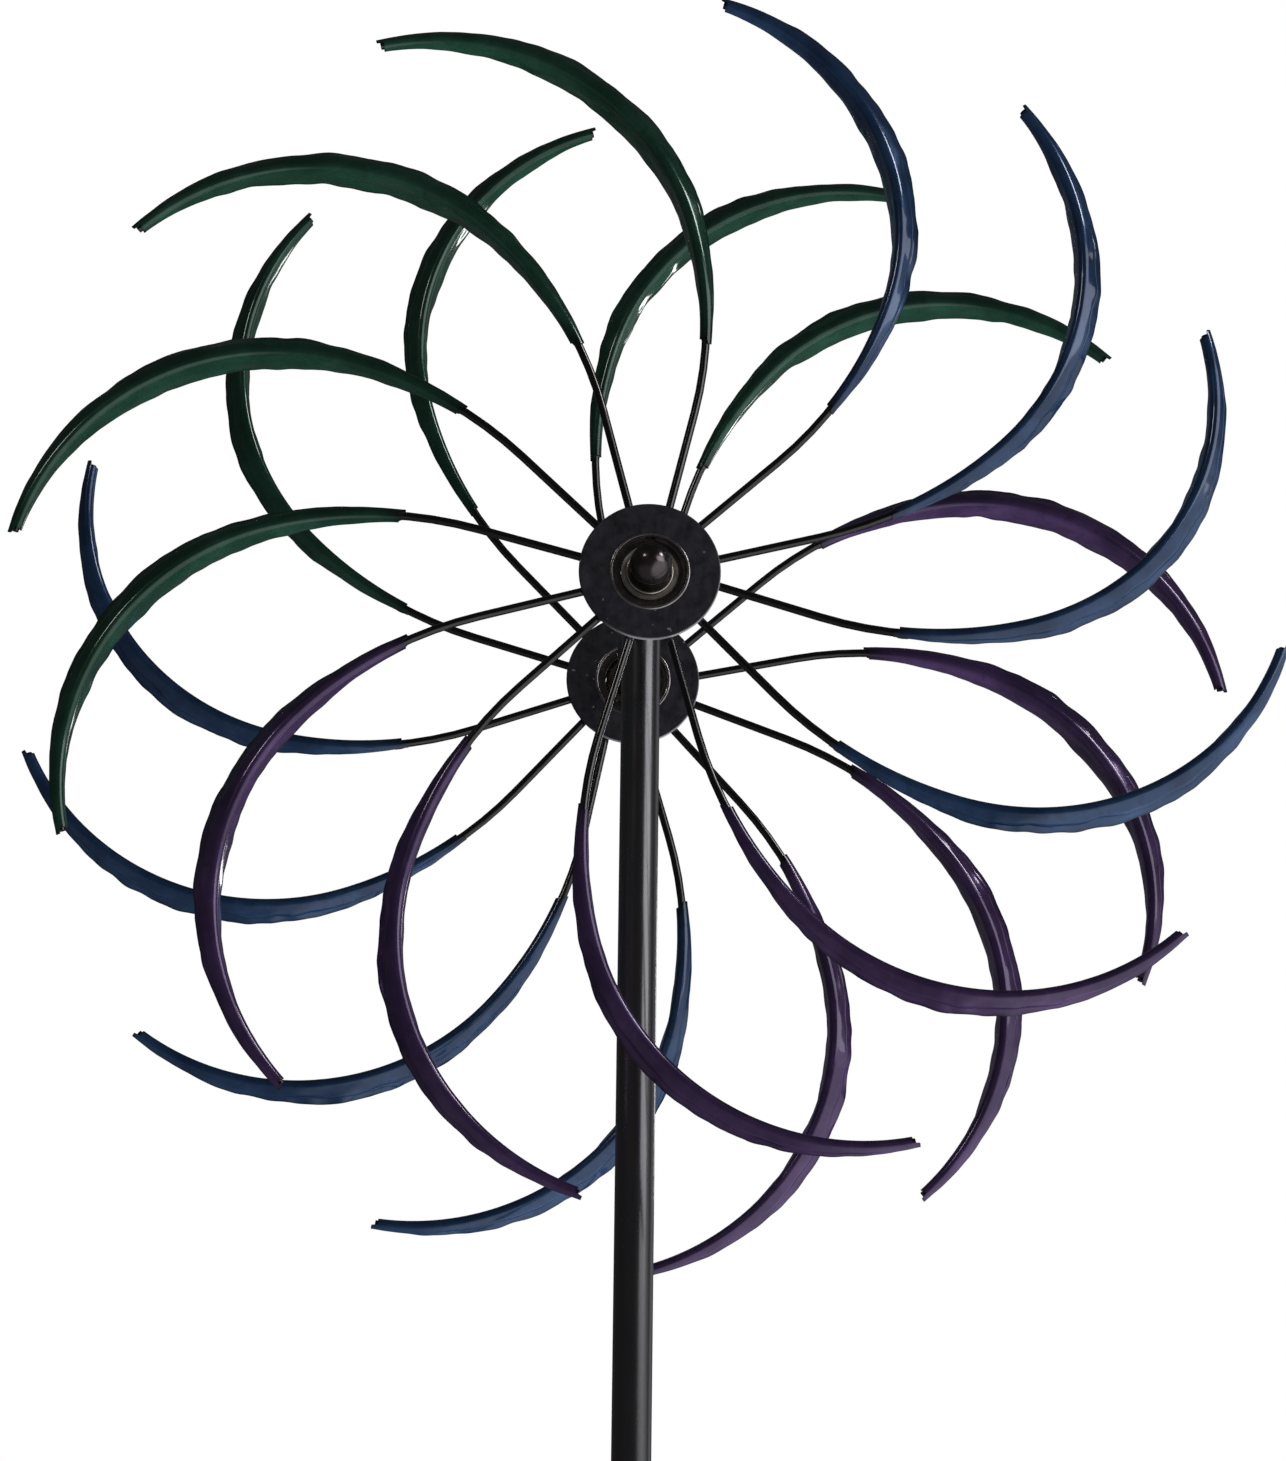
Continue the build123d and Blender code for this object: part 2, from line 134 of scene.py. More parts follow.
# ---- Bearing faces ----
SHIELD_INNER = 8.95 * MM
SHIELD_OUTER = 13.7 * MM
SHIELD_RECESS = 0.6 * MM
SHIELD_THICKNESS = 0.5 * MM
SHIELD_FLAT_HEIGHT = 0.1 * MM
SHIELD_FLAT_SHARE = 0.45
SHIELD_RISE_SHARE = 0.6
SHIELD_RISE = 0.5 * MM
WASHER_LIP_INNER = 10.3 * MM
WASHER_LIP_OUTER = 11.45 * MM
WASHER_LIP_HEIGHT = 0.45 * MM
WASHER_LIP_DEPTH = 0.2 * MM
GREASE_INNER = 8.9 * MM
GREASE_OUTER = 13.5 * MM
GREASE_RECESS = 2.1 * MM
GREASE_HEIGHT = 0.5 * MM
GREASE_DEPTH = 0.6 * MM
GREASE_UNEVENNESS = 0.7 * MM

# ---- Painted highlight on the hub discs' rim: radii where it begins and is full, the side it lies on, and the reach towards that side where it begins and is full ----
DISC_RIM_HIGHLIGHT = (33.3 * MM, 33.9 * MM)
DISC_HIGHLIGHT_SIDE = (0.55, 0.0, -0.83)
DISC_HIGHLIGHT_REACH = (8.0 * MM, 20.0 * MM)

# ---- Hammered sheet ----
BLADE_STATIONS = 133
INNER_LEG_ROWS = 13
OUTER_LEG_ROWS = 16
NOSE_ROWS = 8
# How much of the inner leg is cut away at each end of the sheet.
INNER_LEG_SETBACK = 3.0 * MM
DENT_DEPTH = 1.15 * MM
NOSE_DENT_DEPTH = 0.02 * MM
# The dents grow from nothing to their full depth over this much of a leg.
DENT_FADE = 6.0 * MM
# Wander of a leg's edge, and how far inside the even edge it lies, as a share of that wander.
EDGE_WAVE = 0.9 * MM
EDGE_INSET = 0.45
INNER_LEG_BOW = radians(6.0)
OUTER_LEG_BOW = radians(8.0)
# The outer leg's crease, in shares of the leg's length; its half width also sets the painted shade along
# it.
CREASE_PLACE = 0.56
CREASE_WANDER = 0.2
CREASE_HALF_WIDTH = 0.11
CREASE_BEND = radians(70.0)
# Cells per metre of the noise that moves the edge, the crease and the crease's bend.
EDGE_CELLS = 115.0
CREASE_CELLS = 70.0
PRESSING_CELLS = 45.0
# The sheet's start is smoked dark over this share of its length.
SMOKED_SHARE = 0.09
INNER = -1
OUTER = 1
# (angle from the nose's middle, length, rows, bow) of each leg
LEGS = {
    INNER: (INNER_LEG_ANGLE, INNER_LEG_LENGTH, INNER_LEG_ROWS, INNER_LEG_BOW),
    OUTER: (OUTER_LEG_ANGLE, OUTER_LEG_LENGTH, OUTER_LEG_ROWS, OUTER_LEG_BOW),
}

# Colour, extra degrees of lean and slackness of the bend of each blade. Lean and slackness repeat the
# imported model's; they are not chosen by hand but fitted to the photograph by another program and rounded.
BLADES_OF_SIDE = {
    "front": (
        ("green", 5, 1.00),
        ("blue", -1, 0.97),
        ("blue", 3, 1.02),
        ("blue", -5, 0.96),
        ("blue", 0, 1.01),
        ("purple", 1, 1.01),
        ("purple", 3, 0.99),
        ("purple", 4, 1.00),
        ("purple", 2, 1.00),
        ("green", 2, 1.01),
        ("green", 3, 1.00),
        ("green", 1, 0.99),
    ),
    "rear": (
        ("green", 4, 1.01),
        ("green", 6, 1.01),
        ("blue", 1, 0.98),
        ("blue", -4, 1.03),
        ("blue", -10, 1.02),
        ("blue", -5, 1.03),
        ("purple", 1, 1.01),
        ("purple", 4, 1.00),
        ("purple", -2, 0.97),
        ("purple", -2, 0.99),
        ("green", -5, 1.01),
        ("green", 2, 1.02),
    ),
}

BODY_OF_SIDE = {"front": "front_rotor", "rear": "rear_rotor"}
MIRROR_OF_SIDE = {"front": 1.0, "rear": -1.0}
FIRST_SEED_OF_SIDE = {"front": 0, "rear": 300}
SEED_STEP = 13.7


def box_centre(node):
    """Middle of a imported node's box."""
    low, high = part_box(node)
    return (Vector(low) + Vector(high)) / 2


HUB_CENTRE = Vector((0.0, 0.0, box_centre("axle").z))


# =============================== node helpers ===============================


class Shader:
    """A new material with its Principled shader and short ways to add nodes."""

    def __init__(self, name):
        self.material = bpy.data.materials.new(name)
        self.material.use_nodes = True
        self.nodes = self.material.node_tree.nodes
        self.links = self.material.node_tree.links
        self.nodes.clear()
        self.surface = self.nodes.new("ShaderNodeBsdfPrincipled")
        output = self.nodes.new("ShaderNodeOutputMaterial")
        self.links.new(self.surface.outputs["BSDF"], output.inputs["Surface"])
        self.place = self.nodes.new("ShaderNodeTexCoord").outputs["Object"]

    def set(self, **values):
        """Sets plain values on the Principled shader's own sockets, coat_ior on Coat IOR and so on."""
        for key, value in values.items():
            socket = key.replace("_", " ").title().replace("Ior", "IOR")
            self.surface.inputs[socket].default_value = value

    def noise(self, scale, detail=4.0, roughness=0.55, stretch=(1.0, 1.0, 1.0), distortion=0.0):
        """Noise over the object's own coordinates; scale is in cells per metre."""
        mapping = self.nodes.new("ShaderNodeMapping")
        mapping.inputs["Scale"].default_value = stretch
        self.links.new(self.place, mapping.inputs["Vector"])
        texture = self.nodes.new("ShaderNodeTexNoise")
        texture.inputs["Scale"].default_value = scale
        texture.inputs["Detail"].default_value = detail
        texture.inputs["Roughness"].default_value = roughness
        texture.inputs["Distortion"].default_value = distortion
        self.links.new(mapping.outputs["Vector"], texture.inputs["Vector"])
        return texture.outputs["Fac"]

    def ramp(self, value, low, high, start=0.0, end=1.0):
        """Value mapped from low..high to start..end and clamped."""
        node = self.nodes.new("ShaderNodeMapRange")
        node.inputs["From Min"].default_value = low
        node.inputs["From Max"].default_value = high
        node.inputs["To Min"].default_value = start
        node.inputs["To Max"].default_value = end
        self.links.new(value, node.inputs["Value"])
        return node.outputs["Result"]

    def product(self, first, second):
        """Two values multiplied; second is a socket or a number."""
        node = self.nodes.new("ShaderNodeMath")
        node.operation = "MULTIPLY"
        node.use_clamp = True
        self.links.new(first, node.inputs[0])
        if isinstance(second, float):
            node.inputs[1].default_value = second
        else:
            self.links.new(second, node.inputs[1])
        return node.outputs["Value"]

    def mix(self, amount, first, second):
        """Colour mix; first and second are sockets or RGB triples."""
        node = self.nodes.new("ShaderNodeMix")
        node.data_type = "RGBA"
        self.links.new(amount, node.inputs["Factor"])
        for socket, value in ((node.inputs[6], first), (node.inputs[7], second)):
            if isinstance(value, tuple):
                socket.default_value = (*value, 1.0)
            else:
                self.links.new(value, socket)
        return node.outputs[2]

    def attribute(self, name):
        """A value stored on the mesh's points."""
        node = self.nodes.new("ShaderNodeAttribute")
        node.attribute_name = name
        return node.outputs["Fac"]

    def from_axle(self):
        """Vector from the hub's middle to the point, without its part along the axle."""
        node = self.nodes.new("ShaderNodeVectorMath")
        node.operation = "MULTIPLY_ADD"
        node.inputs[1].default_value = (1.0, 0.0, 1.0)
        node.inputs[2].default_value = (0.0, 0.0, -HUB_CENTRE.z)
        self.links.new(self.place, node.inputs[0])
        return node.outputs["Vector"]

    def length(self, vector):
        """A vector's length."""
        node = self.nodes.new("ShaderNodeVectorMath")
        node.operation = "LENGTH"
        self.links.new(vector, node.inputs[0])
        return node.outputs["Value"]

    def reach(self, vector, direction):
        """How far a vector goes along a direction."""
        node = self.nodes.new("ShaderNodeVectorMath")
        node.operation = "DOT_PRODUCT"
        node.inputs[1].default_value = direction
        self.links.new(vector, node.inputs[0])
        return node.outputs["Value"]

    def colour(self, socket):
        """Feeds the base colour."""
        self.links.new(socket, self.surface.inputs["Base Color"])

    def rough(self, socket):
        """Feeds the roughness."""
        self.links.new(socket, self.surface.inputs["Roughness"])

    def bump(self, height, distance, strength=1.0):
        """Feeds the normal from a height."""
        node = self.nodes.new("ShaderNodeBump")
        node.inputs["Distance"].default_value = distance
        node.inputs["Strength"].default_value = strength
        self.links.new(height, node.inputs["Height"])
        self.links.new(node.outputs["Normal"], self.surface.inputs["Normal"])


# =============================== materials ===============================


def lacquer(name, deep, bright, edge_and_crease_shade_colour):
    """Tinted gloss lacquer over hammered sheet, dark where it is smoked and at an edge, with painted shade
    along the outer leg's crease.
    """
    shader = Shader(name)
    cloud = shader.ramp(shader.noise(40.0, 3.0), 0.36, 0.66)
    patch = shader.ramp(shader.noise(120.0, 2.0, 0.5, (1.0, 1.0, 1.0), 0.6), 0.56, 0.62)
    # Darker at the edges and at the smoked start, plus painted shade along the outer leg's crease.
    edge_and_crease_shade = shader.ramp(shader.attribute("edge_and_crease_shade"), 0.45, 1.0)
    speck = shader.ramp(shader.noise(900.0, 2.0, 0.5), 0.7, 0.74)
    base = shader.mix(cloud, deep, bright)
    base = shader.mix(shader.product(patch, 0.45), base, deep)
    base = shader.mix(shader.product(edge_and_crease_shade, 0.75), base, edge_and_crease_shade_colour)
    base = shader.mix(shader.product(speck, 0.15), base, (0.16, 0.16, 0.17))
    shader.colour(base)
    shader.rough(shader.ramp(shader.noise(90.0, 3.0), 0.3, 0.75, 0.16, 0.26))
    shader.set(metallic=0.15, coat_weight=1.0, coat_ior=1.5, coat_roughness=0.06, specular_ior_level=0.2)
    shader.bump(shader.noise(80.0, 1.0, 0.4), 0.0006, 0.3)
    return shader.material


def powder_coat(name, base, worn, roughness, mottling):
    """Satin powder coat: fine pebble, soft mottling and a few pale chips."""
    shader = Shader(name)
    mottle = shader.ramp(shader.noise(mottling, 5.0, 0.6), 0.35, 0.72)
    chip = shader.ramp(shader.noise(260.0, 2.0, 0.4), 0.745, 0.765)
    tone = shader.mix(mottle, base, worn)
    tone = shader.mix(shader.product(chip, 0.6), tone, (0.22, 0.21, 0.22))
    shader.colour(tone)
    shader.rough(shader.ramp(shader.noise(240.0, 5.0), 0.3, 0.75, roughness - 0.07, roughness + 0.1))
    shader.set(specular_ior_level=0.5)
    shader.bump(shader.noise(1500.0, 2.0, 0.5), 0.0002, 0.35)
    return shader.material


def disc_paint(name):
    """Blue-black paint over brushed sheet: mottled, chipped, and with a painted highlight along one part of
    the rim.
    """
    shader = Shader(name)
    mottle = shader.ramp(shader.noise(150.0, 5.0, 0.65), 0.36, 0.68)
    brushed = shader.ramp(shader.noise(340.0, 4.0, 0.6, (1.0, 1.0, 0.25)), 0.4, 0.72)
    chip = shader.ramp(shader.noise(330.0, 1.0, 0.4), 0.755, 0.765)
    offset = shader.from_axle()
    # Painted highlight: one side of the rim is made pale, as if its edge caught the light.
    rim = shader.ramp(shader.length(offset), *DISC_RIM_HIGHLIGHT)
    highlight_side = shader.ramp(shader.reach(offset, DISC_HIGHLIGHT_SIDE), *DISC_HIGHLIGHT_REACH)
    rim_highlight = shader.product(rim, highlight_side)
    tone = shader.mix(mottle, (0.024, 0.024, 0.032), (0.068, 0.068, 0.088))
    tone = shader.mix(shader.product(brushed, 0.5), tone, (0.086, 0.088, 0.112))
    tone = shader.mix(shader.product(chip, 0.8), tone, (0.55, 0.54, 0.54))
    # The pale painted highlight on that part of the rim.
    tone = shader.mix(shader.product(rim_highlight, 0.85), tone, (0.60, 0.60, 0.64))
    shader.colour(tone)
    shader.rough(shader.ramp(mottle, 0.0, 1.0, 0.34, 0.48))
    shader.set(specular_ior_level=0.5)
    shader.bump(shader.noise(700.0, 3.0, 0.5), 0.0002, 0.3)
    return shader.material


def pole_paint(name):
    """Satin black paint drawn along the tube, a little violet, with faint runs."""
    shader = Shader(name)
    run = shader.ramp(shader.noise(60.0, 4.0, 0.6, (1.0, 1.0, 0.08)), 0.3, 0.75)
    scuff = shader.ramp(shader.noise(300.0, 4.0, 0.7, (1.0, 1.0, 0.25)), 0.68, 0.8)
    tone = shader.mix(run, (0.013, 0.011, 0.013), (0.024, 0.020, 0.024))
    tone = shader.mix(shader.product(scuff, 0.3), tone, (0.09, 0.085, 0.09))
    shader.colour(tone)
    shader.rough(shader.ramp(shader.noise(120.0, 4.0, 0.6, (1.0, 1.0, 0.2)), 0.3, 0.75, 0.24, 0.34))
    shader.set(specular_ior_level=0.8, coat_weight=1.0, coat_ior=2.0, coat_roughness=0.19)
    shader.bump(shader.noise(900.0, 2.0, 0.5), 0.00015, 0.15)
    return shader.material


def rod_paint(name):
    """Thin gloss black paint over drawn rod."""
    shader = Shader(name)
    thin = shader.ramp(shader.noise(150.0, 5.0, 0.6), 0.4, 0.75)
    chip = shader.ramp(shader.noise(700.0, 2.0, 0.5), 0.7, 0.73)
    tone = shader.mix(thin, (0.004, 0.004, 0.005), (0.011, 0.010, 0.012))
    tone = shader.mix(shader.product(chip, 0.5), tone, (0.15, 0.14, 0.14))
    shader.colour(tone)
    shader.rough(shader.ramp(shader.noise(380.0, 4.0), 0.3, 0.75, 0.12, 0.22))
    shader.set(specular_ior_level=0.5, coat_weight=1.0, coat_roughness=0.03)
    shader.bump(shader.noise(120.0, 2.0, 0.5), 0.0002, 0.15)
    return shader.material


def worked_steel(name, clean, dull, roughness, metallic):
    """Turned steel, tarnished in patches, with small rust stains."""
    shader = Shader(name)
    tarnish = shader.ramp(shader.noise(140.0, 4.0, 0.5), 0.35, 0.7)
    stain = shader.ramp(shader.noise(300.0, 3.0, 0.6), 0.62, 0.78)
    tone = shader.mix(tarnish, clean, dull)
    tone = shader.mix(shader.product(stain, 0.15), tone, (0.05, 0.03, 0.02))
    shader.colour(tone)
    shader.rough(shader.ramp(shader.noise(420.0, 5.0), 0.3, 0.75, roughness - 0.06, roughness + 0.1))
    shader.set(metallic=metallic)
    shader.bump(shader.noise(200.0, 2.0, 0.4), 0.0001, 0.05)
    return shader.material


def grease(name):
    """Dark bearing grease, wet and lumpy."""
    shader = Shader(name)
    dirt = shader.ramp(shader.noise(700.0, 5.0, 0.65), 0.35, 0.7)
    tone = shader.mix(dirt, (0.012, 0.008, 0.006), (0.05, 0.036, 0.028))
    shader.colour(tone)
    shader.rough(shader.ramp(shader.noise(900.0, 4.0), 0.3, 0.75, 0.12, 0.4))
    shader.set(specular_ior_level=0.5, coat_weight=0.4, coat_roughness=0.1)
    shader.bump(shader.noise(900.0, 3.0, 0.5), 0.0005, 0.6)
    return shader.material


def floor_paint(name):
    """Plain pale floor with a very faint unevenness."""
    shader = Shader(name)
    cloud = shader.ramp(shader.noise(1.5, 3.0), 0.3, 0.7)
    shader.colour(shader.mix(cloud, (0.74, 0.74, 0.74), (0.78, 0.78, 0.78)))
    shader.set(roughness=0.85, emission_color=(1.0, 1.0, 1.0, 1.0), emission_strength=FLOOR_GLOW)
    return shader.material


def backdrop_light(name):
    """Plain pale backdrop that glows evenly."""
    material = bpy.data.materials.new(name)
    material.use_nodes = True
    nodes = material.node_tree.nodes
    nodes.clear()
    emission = nodes.new("ShaderNodeEmission")
    emission.inputs["Color"].default_value = (1.0, 1.0, 1.0, 1.0)
    emission.inputs["Strength"].default_value = 1.0
    output = nodes.new("ShaderNodeOutputMaterial")
    material.node_tree.links.new(emission.outputs["Emission"], output.inputs["Surface"])
    return material


# (deep colour, bright colour, colour along the edges and of the painted shade in the crease)
LACQUERS = {
    "green": ((0.014, 0.082, 0.048), (0.036, 0.145, 0.092), (0.006, 0.008, 0.008)),
    "blue": ((0.020, 0.064, 0.168), (0.050, 0.130, 0.305), (0.008, 0.009, 0.012)),
    "purple": ((0.085, 0.044, 0.145), (0.160, 0.084, 0.260), (0.010, 0.008, 0.012)),
}
# (clean colour, dull colour, roughness)
STEELS = {
    "cup": ((0.50, 0.47, 0.45), (0.30, 0.27, 0.26), 0.18),
    "circlip": ((0.20, 0.175, 0.165), (0.11, 0.095, 0.09), 0.24),
    "bearing": ((0.34, 0.32, 0.28), (0.14, 0.125, 0.11), 0.18),
    "race": ((0.15, 0.135, 0.125), (0.07, 0.06, 0.055), 0.26),
    "cage": ((0.20, 0.16, 0.10), (0.07, 0.055, 0.04), 0.38),
    "dark_chrome": ((0.15, 0.13, 0.13), (0.10, 0.085, 0.087), 0.2),
    "washer": ((0.15, 0.125, 0.11), (0.08, 0.065, 0.06), 0.22),
    "washer_lip": ((0.80, 0.74, 0.62), (0.60, 0.54, 0.44), 0.2),
    "shield": ((0.66, 0.62, 0.56), (0.40, 0.37, 0.34), 0.34),
    "zinc": ((0.42, 0.42, 0.43), (0.22, 0.22, 0.23), 0.34),
}
# The shield is duller than the other steels.
STEEL_METALLIC = 0.9
SHIELD_METALLIC = 0.6
# (base colour, worn colour, roughness, cells per metre of the mottling)
POWDER_COATS = {
    "stake": ((0.013, 0.012, 0.013), (0.032, 0.029, 0.028), 0.45, 60.0),
    "weld": ((0.008, 0.008, 0.009), (0.025, 0.024, 0.026), 0.3, 300.0),
}

MATERIALS = {key: lacquer(f"lacquer_{key}", *colours) for key, colours in LACQUERS.items()}
for key, values in STEELS.items():
    metallic = SHIELD_METALLIC if key == "shield" else STEEL_METALLIC
    MATERIALS[key] = worked_steel(f"steel_{key}", *values, metallic)
for key, values in POWDER_COATS.items():
    MATERIALS[key] = powder_coat(f"coat_{key}", *values)
MATERIALS["disc"] = disc_paint("paint_disc")
MATERIALS["pole"] = pole_paint("paint_pole")
MATERIALS["rods"] = rod_paint("paint_rods")
MATERIALS["grease"] = grease("bearing_grease")


def dress(node, key):
    """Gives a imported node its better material."""
    packed = NODES[node]
    for slot in packed.material_slots:
        slot.material = MATERIALS[key]
    if not packed.material_slots:
        packed.data.materials.append(MATERIALS[key])


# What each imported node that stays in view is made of; the first table holds for both sides.
MATERIAL_OF_SIDE_NODE = {
    "hub_disc": "disc",
    "bearing_cup": "cup",
    "circlip": "circlip",
    "outer_race": "race",
    "inner_race": "race",
    "bearing_balls": "bearing",
    "ball_cage": "cage",
    "rods": "rods",
    "spacer": "zinc",
    "washer": "washer",
    "cap_nut": "dark_chrome",
}
NODES_OF_MATERIAL = {
    "zinc": ("axle", "joint_screws", "joint_nuts"),
    "pole": ("axle_boss", "lower_tube", "middle_tube", "upper_tube"),
    "stake": ("step_bar", "ground_spike", "left_prong", "right_prong"),
}


def dress_packed_nodes():
    """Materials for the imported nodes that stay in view."""
    for side in BODY_OF_SIDE:
        for node, key in MATERIAL_OF_SIDE_NODE.items():
            dress(f"{side}_{node}", key)
    for key, nodes in NODES_OF_MATERIAL.items():
        for node in nodes:
            dress(node, key)


# =============================== blades ===============================


class BladePath:
    """The path of one blade whose rod points along +X, bowed forward, with its own lean and slackness."""

    def __init__(self, lean, slack):
        self.heading = radians(ROD_LEAN + lean)
        self.arcs = ((SLACK_RADIUS * slack, SLACK_LENGTH), (CURL_RADIUS * slack, CURL_LENGTH))
        out, curl, forward = Vector((1, 0, 0)), Vector((0, 0, 1)), Vector((0, -1, 0))
        tip_x, tip_y, _ = self.state(PATH_LENGTH)
        slope = atan2(tip_y, tip_x - RIM_RADIUS)
        chord = out * cos(slope) + curl * sin(slope)
        belly = out * sin(slope) - curl * cos(slope)
        bowed = belly * cos(BOW_TILT) + forward * sin(BOW_TILT)
        self.out = chord * cos(slope) + bowed * sin(slope)
        self.curl = chord * sin(slope) - bowed * cos(slope)
        self.back = self.curl.cross(self.out)
        self.origin = (out - self.out) * RIM_RADIUS

    def state(self, distance):
        """Place and heading, a distance along the path from the hub's rim."""
        heading = self.heading
        run = min(distance, STRAIGHT_LENGTH)
        x = RIM_RADIUS + run * cos(heading)
        y = run * sin(heading)
        for radius, longest in self.arcs:
            distance -= run
            run = min(max(distance, 0.0), longest)
            turned = heading + run / radius
            x += radius * (sin(turned) - sin(heading))
            y -= radius * (cos(turned) - cos(heading))
            heading = turned
        return x, y, heading

    def section(self, distance):
        """Point on the path with the directions outside, back and along."""
        x, y, heading = self.state(distance)
        point = self.origin + self.out * x + self.curl * y
        outside = self.out * sin(heading) - self.curl * cos(heading)
        along = self.out * cos(heading) + self.curl * sin(heading)
        return point, outside, self.back, along


def leg_length(longest, share):
    """A leg's length at a share of the way along the crescent."""
    return LEG_END_LENGTH + (longest - LEG_END_LENGTH) * sin(pi * share) ** LEG_TAPER


def dent(place, seed):
    """Hammered unevenness, roughly -1 to 1: broad dents with smaller ones on top."""
    broad = noise.noise(Vector((place[0] * 52.0, place[1] * 75.0, seed)))
    small = noise.noise(Vector((place[0] * 115.0, place[1] * 130.0, seed + 40.0)))
    return broad + 0.5 * small


def wander(along, cells, side, spread, seed):
    """Noise along the sheet, different for each leg and blade."""
    return noise.noise(Vector((along * cells, side * spread, seed)))


def hammering(share):
    """How strongly the sheet is worked at a share of the way along: 1 in the middle, 0 at both ends."""
    return sin(pi * share) ** 0.5


def smoking(share):
    """How smoked the sheet is: 1 at its start, then less."""
    return max(0.0, 1 - share / SMOKED_SHARE)


def along_outer(share):
    """Distance along the path at a share of the way along the sheet, on the outer leg."""
    return SHEET_START + (PATH_LENGTH - SHEET_START) * share


def along_inner(share):
    """The same on the inner leg, which is cut a little shorter at both ends."""
    return along_outer(0.5 + (share - 0.5) * (1 - 2 * INNER_LEG_SETBACK / (PATH_LENGTH - SHEET_START)))


def leg_rows(share, side, seed):
    """Middle line of one leg across a station, from the nose out to the leg's edge."""
    angle, longest, count, bow = LEGS[side]
    along = along_outer(share)
    place = along_inner(share) if side == INNER else along
    worked = hammering(share)
    length = leg_length(longest, share) - SHEET_THICKNESS / 4
    length += EDGE_WAVE * worked * (wander(along, EDGE_CELLS, side, 7.0, seed) - EDGE_INSET)
    crease = CREASE_PLACE + CREASE_WANDER * wander(along, CREASE_CELLS, side, 11.0, seed)
    pressed = CREASE_BEND * worked * (0.75 + 0.6 * wander(along, PRESSING_CELLS, side, 3.0, seed))
    width = NOSE_RADIUS * sin(angle)
    depth = -NOSE_RADIUS * cos(angle)
    rows = []
    for row in range(1, count + 1):
        reach = row / count
        down = length * reach
        bend = angle + bow * worked * (2 * reach - 1 - 1 / count)
        edge_and_shade_mark = max(reach ** 4, smoking(share))
        if side == OUTER:
            nearness = max(0.0, 1 - abs(reach - crease) / CREASE_HALF_WIDTH)
            bend += pressed * nearness
            # Painted shade: the crease is darkened in the paint as well as bent.
            edge_and_shade_mark = max(edge_and_shade_mark, nearness * worked)
        width += length / count * cos(bend)
        depth += length / count * sin(bend)
        rise = DENT_DEPTH * worked * min(1.0, down / DENT_FADE)
        swell = rise * dent((along, down * side), seed + side)
        across = side * (width + swell * sin(bend))
        back = depth - swell * cos(bend)
        rows.append((place, across, back, side * sin(bend), -cos(bend), edge_and_shade_mark))
    return rows


def nose_rows(share, seed):
    """Middle line of the rounded nose across a station, from the inner leg to the outer one."""
    along = along_outer(share)
    rows = []
    for step in range(NOSE_ROWS + 1):
        turn = -INNER_LEG_ANGLE + (INNER_LEG_ANGLE + OUTER_LEG_ANGLE) * step / NOSE_ROWS
        radius = NOSE_RADIUS + NOSE_DENT_DEPTH * hammering(share) * dent((along, turn * 4 * MM), seed + 9)
        place = along_inner(share) if turn < OUTER_LEG_ANGLE / 2 else along
        rows.append((place, radius * sin(turn), -radius * cos(turn), sin(turn), -cos(turn), smoking(share)))
    return rows


def sheet_rows(share, seed):
    """Middle line of the bent sheet across one station, from the inner leg's edge to the outer one's.

    Each row is (distance along the path, across, back, normal across, normal back, mark of dark edges and
    painted crease shade).
    """
    return leg_rows(share, INNER, seed)[::-1] + nose_rows(share, seed) + leg_rows(share, OUTER, seed)


def sheet_outline(rows):
    """Closed outline of the sheet: (row, offset from the middle line, reach past the edge, mark of dark
    edges and painted crease shade).
    """
    half = SHEET_THICKNESS / 2
    front = [(row, half, 0.0, row[5]) for row in rows]
    back = [(row, -half, 0.0, row[5]) for row in reversed(rows)]
    return front + [(rows[-1], 0.0, -half * 0.5, 1.0)] + back + [(rows[0], 0.0, half * 0.5, 1.0)]


def build_blade(name, path, seed, mirror):
    """One hammered blade whose rod points along +X, before it is turned into place."""
    mesh = bmesh.new()
    # Marks the dark edges and the painted shade along the crease.
    edge_and_shade_mark = mesh.verts.layers.float.new("edge_and_crease_shade")
    loops = []
    for station in range(BLADE_STATIONS):
        rows = sheet_rows(station / (BLADE_STATIONS - 1), seed)
        ends_mark = 1.0 if station in (0, BLADE_STATIONS - 1) else 0.0
        loop = []
        for row, offset, past, edge_and_crease_shade in sheet_outline(rows):
            distance, across, back, normal_across, normal_back, _ = row
            point, outside, behind, _ = path.section(distance)
            across += normal_across * offset + past * normal_back
            back += normal_back * offset - past * normal_across
            place = point + outside * across + behind * back
            vertex = mesh.verts.new((place.x * mirror, place.y, place.z))
            vertex[edge_and_shade_mark] = max(edge_and_crease_shade, ends_mark)
            loop.append(vertex)
        loops.append(loop)
    for first, second in zip(loops, loops[1:]):
        for index in range(len(first)):
            following = (index + 1) % len(first)
            mesh.faces.new((first[index], first[following], second[following], second[index]))
    # Each end is closed by a strip between the two faces of the sheet, with a triangle at each edge.
    count = len(loops[0]) // 2 - 1
    for loop, flip in ((loops[0], False), (loops[-1], True)):
        for index in range(count - 1):
            other = 2 * count - index
            corners = [loop[index], loop[other], loop[other - 1], loop[index + 1]]
            mesh.faces.new(corners[::-1] if flip else corners)
        for corners in ((count - 1, count, count + 1), (0, 2 * count + 1, 2 * count)):
            mesh.faces.new([loop[corner] for corner in corners])
    bmesh.ops.recalc_face_normals(mesh, faces=mesh.faces)
    data = bpy.data.meshes.new(name)
    mesh.to_mesh(data)
    mesh.free()
    data.shade_smooth()
    data.set_sharp_from_angle(angle=radians(50.0))
    return data


def middle_of(data):
    """Area-weighted middle of a mesh's surface."""
    total = Vector((0.0, 0.0, 0.0))
    for face in data.polygons:
        total += face.center * face.area
    return total / sum(face.area for face in data.polygons)


def angle_round_axle(point, height):
    """Angle of a point round the axle, seen from the front."""
    return atan2(point.z - height, point.x)


def add_object(name, data, body, material):
    """A new piece with its material, riding on a body."""
    piece = bpy.data.objects.new(name, data)
    bpy.context.scene.collection.objects.link(piece)
    data.materials.append(material)
    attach(piece, body)
    return piece


